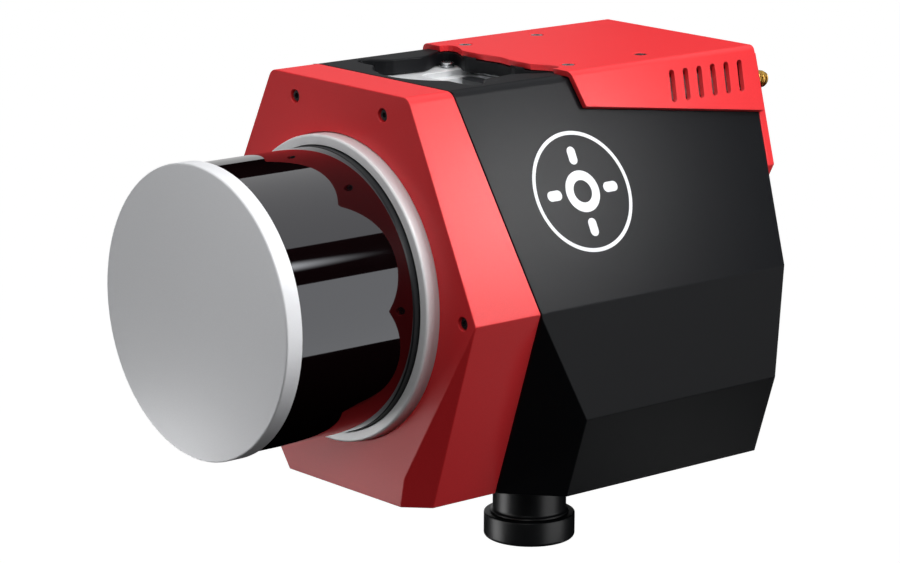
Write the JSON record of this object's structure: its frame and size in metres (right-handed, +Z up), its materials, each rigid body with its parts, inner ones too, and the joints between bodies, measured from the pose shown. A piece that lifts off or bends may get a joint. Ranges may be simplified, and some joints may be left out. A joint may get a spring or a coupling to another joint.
{
  "type": "mobile laser scanner",
  "caption": "Compact laser mapping scanner: a spinning scanning head and a downward camera in a faceted housing with a quick-release mount on top.",
  "frame": {"origin": "centre of the mount seat, the flat top face of the chassis plate inside the lobed opening on top", "axes": "+Z up out of the mount seat, -Y the way the scanning head points, +X to the right of someone looking along +Y"},
  "size_m": [0.144, 0.2311, 0.1784],
  "materials": {
    "red_housing": "satin red anodised",
    "black_housing": "fine-grained satin black",
    "machined": "bead-blasted bright aluminium",
    "cap_grey": "matte grey anodised",
    "window": "glossy near-black, passes infrared",
    "dark_moulding": "satin charcoal",
    "steel": "bright screws and bearings",
    "board": "green laminate",
    "winding": "copper winding",
    "magnet": "dark sintered ring",
    "optic": "coated optical glass",
    "gold": "gold-plated contacts and balance weight",
    "status": "clear green light pipe"
  },
  "bodies": {
    "root": {"antenna_port_left": "gold", "antenna_port_right": "gold", "bearing_front": "steel", "bearing_rear": "steel", "body_shell": "black_housing", "camera_body": "dark_moulding", "camera_sensor_board": "board", "chassis_plate": "machined", "chassis_screw_1": "steel", "chassis_screw_2": "steel", "chassis_screw_3": "steel", "chassis_screw_4": "steel", "cover_screw_1": "steel", "cover_screw_2": "steel", "cover_screw_3": "steel", "cover_screw_4": "steel", "data_port": "machined", "front_housing": "red_housing", "front_screw_1": "steel", "front_screw_2": "steel", "front_screw_3": "steel", "front_screw_4": "steel", "head_base": "dark_moulding", "head_cap": "cap_grey", "head_interface_board": "board", "head_trim_ring": "machined", "head_window": "window", "inertial_unit": "machined", "latch_spring": "steel", "lens_barrel": "dark_moulding", "lens_front_glass": "optic", "lens_inner_glass": "optic", "main_board": "board", "motor_stator": "winding", "mount_contacts": "dark_moulding", "power_module": "dark_moulding", "power_port": "machined", "rear_panel": "red_housing", "receiver_shield": "machined", "satellite_receiver": "board", "status_light": "status", "storage_module": "dark_moulding", "top_cover": "red_housing", "vent_screen_left": "machined", "vent_screen_right": "machined"},
    "rotor": {"rotor_bench": "machined", "rotor_shaft": "steel", "motor_magnets": "magnet", "emitter_lens": "optic", "receiver_lens": "optic", "emitter_board": "board", "receiver_board": "board", "rotor_counterweight": "gold"},
    "latch": {"release_latch": "dark_moulding"},
    "focus_ring": {"lens_focus_ring": "dark_moulding"},
    "button": {"power_button": "red_housing"}
  },
  "joints": [
    {"name": "head_spin", "type": "hinge", "parent": "root", "child": "rotor", "pos_m": [0, -0.079, -0.065], "axis": [0, 1, 0], "continuous": true},
    {"name": "focus_turn", "type": "hinge", "parent": "root", "child": "focus_ring", "pos_m": [0, 0.0417, -0.1666], "axis": [0, 0, 1], "range_deg": [0, 120]},
    {"name": "latch_slide", "type": "slide", "parent": "root", "child": "latch", "axis": [0, 1, 0], "range_m": [0, 0.003], "stiffness_N_per_m": 500, "springref_m": -0.003},
    {"name": "button_press", "type": "slide", "parent": "root", "child": "button", "axis": [0, -0.9796, 0.2008], "range_m": [0, 0.0012], "stiffness_N_per_m": 900, "springref_m": -0.0012}
  ]
}
